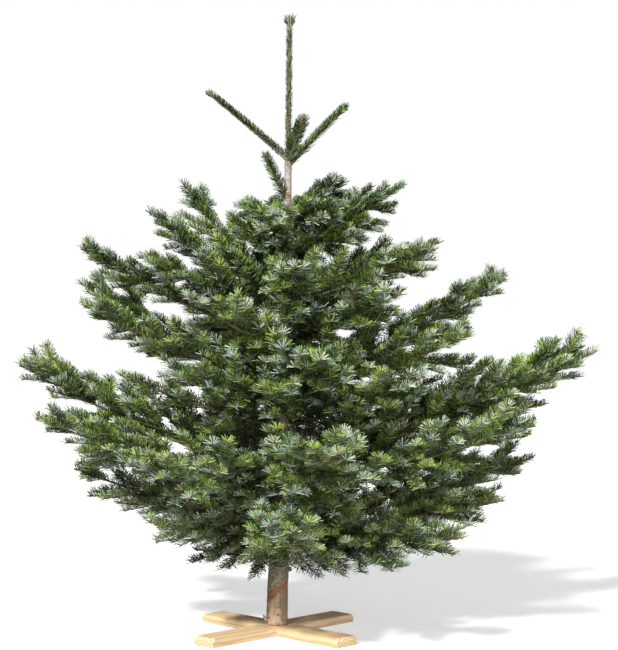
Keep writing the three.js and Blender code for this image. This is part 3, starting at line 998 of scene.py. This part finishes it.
def limb_stems():
    """The limbs from inside the trunk to their tips, with a collar and the bark's relief."""
    bundle = Bundle()
    ages = []
    for limb in limbs():
        shares = np.linspace(0, 1, max(LIMB.fewest, round(limb.length / LIMB.ring)))
        inside = trunk_radius(limb.line[0, 2] - CUT) / LIMB.collar_over
        collar = LIMB.collar * np.exp(-shares * limb.length / LIMB.collar_over + inside)
        radii = stem_radius(limb.length, shares) * (1 + np.clip(collar, 0, LIMB.collar_most))
        radii[-1] *= LIMB.tip
        tubes(bundle, limb.line[None], radii[None], shares, LIMB.sides)
        points = bundle.points[-1]
        own = np.append(np.repeat(shares, LIMB.sides), [0, 1])
        away = points - point_on(limb.line[None], own)
        rough = np.array([noise.noise(place * LIMB.fine)
                          + LIMB.coarse_share * noise.noise(place * LIMB.coarse)
                          for place in map(Vector, points)])
        points += away * (LIMB.rough * rough * (1 - LIMB.smoother * own))[:, None]
        ages.append(np.clip(own * LIMB.ages, 0, 1))
    mesh = bundle.mesh()
    set_values(mesh, "young", np.concatenate(ages))
    return mesh


def twig_tubes(found):
    """The laterals and finer twigs of one piece, older ones browner."""
    bundle = Bundle()
    for order, (rings, sides) in enumerate(TWIG_MESH, 1):
        own = [shoot for shoot in found if shoot.order == order]
        if own:
            shares = np.linspace(0, 1, rings)
            radii = each(own, "foot")[:, None] * (1 - TWIG_TAPER * shares)
            radii = np.maximum(radii, TWIG_LEAST)
            tubes(bundle, each(own, "line"), radii, shares, sides, order - 1)
    return bundle


def bud_places(found, rng):
    """Where the buds sit: one on each tip, and more round it on limbs and laterals."""
    tip, forward, up, side = framed(each(found, "line"), np.ones(len(found)))
    single = np.array([limbs()[shoot.limb].tier.pitch == 0 for shoot in found])
    strong = each(found, "order") < 2
    size = np.where(single, BUD.top, np.where(strong, 1, BUD.twig))
    tips, headings, sizes = [tip], [forward], [size]
    for turn in BUD.beside:
        angle = np.radians(turn + BUD.turn_play * rng.uniform(-1, 1, strong.sum()))[:, None]
        out = up[strong] * np.cos(angle) + side[strong] * np.sin(angle)
        tips.append(tip[strong] - forward[strong] * BUD.back + out * BUD.aside)
        headings.append(unit(forward[strong] + BUD.splayed * out))
        sizes.append(BUD.beside_size * size[strong])
    return np.concatenate(tips), np.concatenate(headings), np.concatenate(sizes)


def leader_buds():
    """The place and heading of the leader's buds: one on top in a ring of others."""
    angle = np.radians(LEADER.bud_turns)
    out = np.stack([np.cos(angle), np.sin(angle), 0 * angle], axis=1)
    out = np.concatenate([np.zeros((1, 3)), out])
    foot = trunk_point(TREE.height - LEADER.buds) + out * LEADER.top
    return foot, unit(out * LEADER.flare + [0, 0, 1])


def buds_mesh():
    """The buds of all shoots and of the leader."""
    rng = np.random.default_rng(SEEDS.buds)
    tips, forward, sizes = bud_places(shoots(), rng)
    top_tips, top_forward = leader_buds()
    tips = np.concatenate([tips, top_tips])
    forward = np.concatenate([forward, top_forward])
    sizes = sizes * rng.uniform(1 - BUD.uneven, 1 + BUD.uneven, len(sizes))
    sizes = np.concatenate([sizes, LEADER.bud_sizes])
    steep = np.abs(forward[:, 2:]) > BUD.steep
    level = np.cross(forward, np.where(steep, [1.0, 0, 0], [0, 0, 1.0]))
    finish = rng.integers(0, BUD.finishes, len(tips))
    finish[sizes > BUD.dark_over] = BUD.dark
    bundle = Bundle()
    add_buds(bundle, tips, forward, unit(level), sizes, finish)
    return bundle.mesh()


def leader_shoot(low, high):
    """A stretch of the leader as a shoot, for the needles that stand on it."""
    low, high = trunk_point(low), trunk_point(high)
    line = np.array([low, (low + high) / 2, high])
    return Shoot(line, float(np.linalg.norm(high - low)), 0, 0, LEADER.foot, 0.0)


def kind_of(limb):
    """How the shoots of a limb are clothed."""
    if not limb.tier.pitch:
        return TOP_SHOOT
    return BRUSH_SHOOT if limb.tier_name in BRUSHES else SIDE_SHOOT


def eased_board(node, width):
    """A copy of a board's solid with its sharp edges eased."""
    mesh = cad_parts[node].data.copy()
    flat, steep = math.radians(EDGE.flat), math.radians(EDGE.steep)
    shape = bmesh.new()
    shape.from_mesh(mesh)
    bmesh.ops.remove_doubles(shape, verts=shape.verts, dist=EDGE.same_place)
    bmesh.ops.dissolve_limit(shape, angle_limit=flat, verts=shape.verts, edges=shape.edges)
    sharp = [e for e in shape.edges if len(e.link_faces) == 2 and e.calc_face_angle() > steep]
    bmesh.ops.bevel(shape, geom=sharp, offset=width, segments=EDGE.segments,
                    profile=EDGE.profile, affect="EDGES", clamp_overlap=True)
    shape.to_mesh(mesh)
    shape.free()
    mesh.materials.clear()
    return mesh


def colour(name, description, default):
    """A colour that a user can set."""
    return bpy.props.FloatVectorProperty(
        name=name, description=description, default=default, size=3, min=0, max=1,
        subtype="COLOR")


def number(name, description, default, **more):
    """A number from 0 up that a user can set."""
    return bpy.props.FloatProperty(
        name=name, description=description, default=default, min=0, **more)


def metres(name, description, default):
    """A length that a user can set."""
    return number(name, description, default, unit="LENGTH", precision=4)


class FirBark(bpy.types.PropertyGroup):
    """Colours of the trunk and the boughs."""

    bark: colour("Bark", "Light parts of the old bark", (0.4, 0.345, 0.25))
    # The dark flecks' colour also paints the shade on the trunk inside the crown
    bark_dark_and_shade: colour("Dark bark", "Dark flecks of the old bark", (0.14, 0.115, 0.075))
    bark_green: colour("Green bark", "Where thin algae tint the bark", (0.17, 0.17, 0.1))
    pale: colour("Pale bark", "Light parts of the bark under the leader", (0.4, 0.37, 0.33))
    pale_dark: colour("Dark pale bark", "Flecks under the leader", (0.18, 0.155, 0.13))
    rust: colour("Rust", "The reddish ring under the leader", (0.42, 0.22, 0.13))
    olive: colour("Olive", "Light parts of the leader's bark", (0.22, 0.18, 0.085))
    olive_dark: colour("Dark olive", "Dark flecks of the leader's bark", (0.06, 0.048, 0.02))
    young: colour("Young bark", "Light parts of a limb's bark near its tip", (0.24, 0.18, 0.075))
    young_dark: colour("Dark young bark", "Flecks near a limb's tip", (0.1, 0.075, 0.03))
    inner_bark: colour("Inner bark", "Torn edge of the peeled foot", (0.36, 0.17, 0.08))
    inner_dark: colour("Dark inner bark", "Dark flecks of that edge", (0.2, 0.08, 0.035))
    wood: colour("Wood", "Bare wood of the peeled foot", (0.52, 0.39, 0.25))
    wood_grain: colour("Wood's grain", "Darker streaks in the bare wood", (0.3, 0.21, 0.13))
    stain: colour("Stain", "Stained bare wood", (0.2, 0.14, 0.085))
    speck: colour("Speck", "Dark specks on the bare wood", (0.02, 0.012, 0.008))


class FirNeedles(bpy.types.PropertyGroup):
    """Sizes and colours of the needles."""

    length: metres("Length", "Length of a side needle on a grown shoot", 0.026)
    width: metres("Width", "Width of a needle where it is widest", 0.0024)
    per_metre: number("Per metre", "Needles on a metre of shoot", 1310)
    # The darkest tone is painted shade for shoots inside the crown
    dark: colour("Dark", "Upper side inside the crown", (0.015, 0.024, 0.008))
    deep: colour("Deep", "Upper side of old needles", (0.035, 0.058, 0.014))
    blue: colour("Blue", "Upper side of bluish needles", (0.075, 0.115, 0.06))
    middle: colour("Middle", "Upper side of most needles", (0.118, 0.195, 0.03))
    fresh: colour("Fresh", "Upper side of young needles", (0.185, 0.288, 0.032))
    yellow: colour("Yellow", "Upper side of the palest needles", (0.305, 0.405, 0.1))
    silver: colour("Silver", "Lower side at a shoot's tip", (0.43, 0.49, 0.37))
    silver_blue: colour("Silver blue", "Bluish lower side at a shoot's tip", (0.28, 0.36, 0.3))
    silver_green: colour("Silver green", "Lower side along a shoot", (0.17, 0.22, 0.12))


class FirTwigs(bpy.types.PropertyGroup):
    """Colours of the twigs and buds."""

    lateral: colour("Lateral", "Bark of the laterals", (0.1, 0.07, 0.04))
    twig: colour("Twig", "Bark of the finer twigs", (0.13, 0.095, 0.04))
    young: colour("Young twig", "Bark of the finest twigs", (0.17, 0.13, 0.045))
    bud: colour("Bud", "Scales of most buds", (0.22, 0.11, 0.05))
    bud_dark: colour("Dark bud", "Scales of darker buds", (0.12, 0.075, 0.035))
    bud_pale: colour("Pale bud", "Scales with a coat of resin", (0.31, 0.18, 0.1))


class FirStand(bpy.types.PropertyGroup):
    """Finish of the cross stand."""

    pine: colour("Pine", "Wood between the grain", (0.63, 0.44, 0.24))
    pine_pale: colour("Pale pine", "Paler fibres in it", (0.74, 0.56, 0.34))
    pine_grain: colour("Grain", "Darker late wood", (0.43, 0.24, 0.1))
    edge: metres("Edge", "How far the boards' edges are eased", 0.002)
    steel: colour("Steel", "The pin in the trunk", (0.45, 0.45, 0.46))


class FirStage(bpy.types.PropertyGroup):
    """Floor, lights and the camera's place."""

    floor: colour("Floor", "Colour of the plain floor", (0.62, 0.62, 0.62))
    floor_glow: number("Floor's glow", "Light of its own that keeps the shadow pale", 0.5)
    key: number("Key light", "Strength of the light from above", 5.9)
    key_softness: number("Softness", "How wide the key light is", math.radians(6),
                         subtype="ANGLE")
    fill: number("Fill light", "Strength of the light in front", 95, unit="POWER")
    ambient: number("Ambient", "Light of the pale surroundings", 0.3)
    camera_height: metres("Camera height", "Height of the lens over the floor", 0.885)
    camera_aside: metres("Camera aside", "How far the lens is right of the trunk's foot", 0.093)
    camera_away: metres("Camera distance", "How far the lens is in front of the trunk", 4.6)


class FIR_OT_trunk(bpy.types.Operator):
    """Make the trunk with its bark, its peeled foot and the stub of a cut limb"""

    bl_idname = "fir.trunk"
    bl_label = "Trunk"

    def execute(self, context):
        colors = context.scene.fir_bark
        finish = bark_finish(colors)
        make_piece("trunk_with_bark", trunk_mesh(), [finish], ["trunk"], smooth=True)
        finish = bough_finish(colors)
        make_piece("stub_of_cut_limb", stub_mesh(), [finish], smooth=True)
        return {"FINISHED"}


class FIR_OT_boughs(bpy.types.Operator):
    """Make the limbs from inside the trunk to their tips"""

    bl_idname = "fir.boughs"
    bl_label = "Boughs"

    def execute(self, context):
        bare = [f"bough_{limb.name}" for limb in limbs() if limb.length > BOUGH_FROM]
        finish = bough_finish(context.scene.fir_bark)
        make_piece("boughs_with_bark", limb_stems(), [finish], bare, smooth=True)
        return {"FINISHED"}


class FIR_OT_twigs(bpy.types.Operator):
    """Make the laterals and the finer twigs, joined by whorl"""

    bl_idname = "fir.twigs"
    bl_label = "Twigs"

    def execute(self, context):
        colors = context.scene.fir_twigs
        finishes = [plain("lateral_bark", colors.lateral), plain("twig_bark", colors.twig),
                    plain("young_twig_bark", colors.young)]
        for name, nodes, found in grouped_by_piece(shoots()):
            bundle = twig_tubes(found)
            if bundle.count:
                make_piece(f"twigs_{name}", bundle.mesh(), finishes, nodes, smooth=True)
        return {"FINISHED"}


class FIR_OT_needles(bpy.types.Operator):
    """Make the needles of every shoot, joined by whorl, and those along the leader"""

    bl_idname = "fir.needles"
    bl_label = "Needles"

    def execute(self, context):
        settings = context.scene.fir_needles
        finishes = needle_finishes(settings)
        rng = np.random.default_rng(SEEDS.needles)
        for name, nodes, found in grouped_by_piece(shoots()):
            bundle = Bundle()
            kind = kind_of(limbs()[found[0].limb])
            add_needles(bundle, found, dealt_tones(found, rng), kind, settings, rng)
            make_piece(f"needles_{name}", bundle.mesh(), finishes, nodes)
        bundle = Bundle()
        heights = (TREE.leader_foot + LEADER.bare, TREE.height - LEADER.tuft,
                   TREE.height - LEADER.buds / 2)
        for low, high, kind in zip(heights, heights[1:], (LEADER_SHOOT, LEADER_TUFT)):
            stretch = [leader_shoot(low, high)]
            add_needles(bundle, stretch, np.array([LEADER.tone]), kind, settings, rng)
        make_piece("needles_leader", bundle.mesh(), finishes)
        return {"FINISHED"}


class FIR_OT_buds(bpy.types.Operator):
    """Make the buds at the tips of the shoots and of the leader"""

    bl_idname = "fir.buds"
    bl_label = "Buds"

    def execute(self, context):
        colors = context.scene.fir_twigs
        finishes = [plain("bud", colors.bud, 0.55), plain("bud_dark", colors.bud_dark, 0.55),
                    plain("bud_pale", colors.bud_pale, 0.45)]
        make_piece("buds", buds_mesh(), finishes, smooth=True)
        return {"FINISHED"}


class FIR_OT_stand(bpy.types.Operator):
    """Ease and finish the two crossed boards, and finish the pin between them and the trunk"""

    bl_idname = "fir.stand"
    bl_label = "Stand"

    def execute(self, context):
        settings = context.scene.fir_stand
        for node, turn in (("stand_board_lower", -45), ("stand_board_upper", 45)):
            finish = pine_finish(f"pine_{node}", turn, settings)
            board = eased_board(node, settings.edge)
            make_piece(f"{node}_planed", board, [finish], [node])
        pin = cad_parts["stand_pin"]
        pin.material_slots[0].material = steel_finish(settings.steel)
        return {"FINISHED"}


class FIR_OT_stage(bpy.types.Operator):
    """Make the plain pale floor, the soft lights and the camera of the photograph"""

    bl_idname = "fir.stage"
    bl_label = "Stage"

    def execute(self, context):
        settings = context.scene.fir_stage
        make_floor(settings)
        key = make_light("key_light", "SUN", settings.key, KEY_PLACE)
        key.angle = settings.key_softness
        fill = make_light("fill_light", "AREA", settings.fill, FILL_PLACE)
        fill.size = FILL_SIZE
        make_surroundings(context.scene, settings)
        make_camera(context.scene, settings)
        return {"FINISHED"}


def make_floor(settings):
    """A plain floor that glows a little, so that the shadow on it stays pale."""
    bpy.ops.mesh.primitive_plane_add(size=FLOOR_SIZE)
    floor = bpy.context.object
    floor.name = "floor"
    finish = plain("floor", settings.floor, 0.9, Emission_Color=WHITE,
                   Emission_Strength=settings.floor_glow)
    floor.data.materials.append(finish)
    # No light from the floor reaches the crown.
    floor.visible_diffuse = False
    floor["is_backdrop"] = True


def make_light(name, kind, strength, place):
    """A lamp that is aimed at the middle of the tree. Gives back its light."""
    light = bpy.data.lights.new(name, kind)
    light.energy = strength
    lamp = bpy.data.objects.new(name, light)
    lamp.location = place
    aim = Vector(LIGHTS_AIM) - Vector(place)
    lamp.rotation_euler = aim.to_track_quat("-Z", "Y").to_euler()
    bpy.context.scene.collection.objects.link(lamp)
    return light


def make_surroundings(scene, settings):
    """A white backdrop that lights the tree less than it shows."""
    world = bpy.data.worlds.new("pale_surroundings")
    world.use_nodes = True
    nodes = Nodes(world.node_tree)
    lit = nodes.node("ShaderNodeBackground", Color=WHITE, Strength=settings.ambient)
    seen = nodes.node("ShaderNodeBackground", Color=WHITE)
    from_camera = nodes.node("ShaderNodeLightPath", output="Is Camera Ray")
    both = nodes.node("ShaderNodeMixShader", _0=from_camera, _1=lit, _2=seen)
    nodes.fill(world.node_tree.nodes["World Output"].inputs["Surface"], both)
    world.node_tree.nodes.remove(world.node_tree.nodes["Background"])
    scene.world = world
    scene.view_settings.view_transform = "Standard"


def make_camera(scene, settings):
    """The camera in front, level, with the photograph's frame."""
    camera = bpy.data.cameras.new("camera")
    camera.sensor_width = PHOTO.sensor
    camera.lens = PHOTO.focal * PHOTO.sensor / max(PHOTO.width, PHOTO.height)
    holder = bpy.data.objects.new("camera", camera)
    holder.location = (settings.camera_aside, -settings.camera_away, settings.camera_height)
    holder.rotation_euler = (math.pi / 2, 0, 0)
    scene.collection.objects.link(holder)
    scene.camera = holder


class FIR_PT_panel(bpy.types.Panel):
    """Lists what the fir is made of"""

    bl_label = "Cut fir"
    bl_space_type = "VIEW_3D"
    bl_region_type = "UI"
    bl_category = "Fir"

    def draw(self, context):
        for operator in OPERATORS:
            self.layout.operator(operator.bl_idname)
        for attribute, group in SETTINGS.items():
            box = self.layout.box()
            for name in group.__annotations__:
                box.prop(getattr(context.scene, attribute), name)


SETTINGS = {"fir_bark": FirBark, "fir_needles": FirNeedles, "fir_twigs": FirTwigs,
            "fir_stand": FirStand, "fir_stage": FirStage}
OPERATORS = (FIR_OT_trunk, FIR_OT_boughs, FIR_OT_twigs, FIR_OT_needles, FIR_OT_buds, FIR_OT_stand,
             FIR_OT_stage)


def register():
    """Makes the classes and the scene's settings known to Blender."""
    for group in (*SETTINGS.values(), *OPERATORS, FIR_PT_panel):
        bpy.utils.register_class(group)
    for attribute, group in SETTINGS.items():
        setattr(bpy.types.Scene, attribute, bpy.props.PointerProperty(type=group))


def unregister():
    """Takes the settings and the classes out again."""
    for attribute in SETTINGS:
        delattr(bpy.types.Scene, attribute)
    for group in (FIR_PT_panel, *reversed(OPERATORS), *reversed(SETTINGS.values())):
        bpy.utils.unregister_class(group)


def main():
    """Makes every piece and the stage."""
    register()
    bpy.ops.fir.trunk()
    bpy.ops.fir.boughs()
    bpy.ops.fir.twigs()
    bpy.ops.fir.needles()
    bpy.ops.fir.buds()
    bpy.ops.fir.stand()
    bpy.ops.fir.stage()
    boxes = {"cad": CAD_BOX, "visual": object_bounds()}
    {name: [list(corner) for corner in box] for name, box in boxes.items()}


if __name__ == "__main__":
    main()
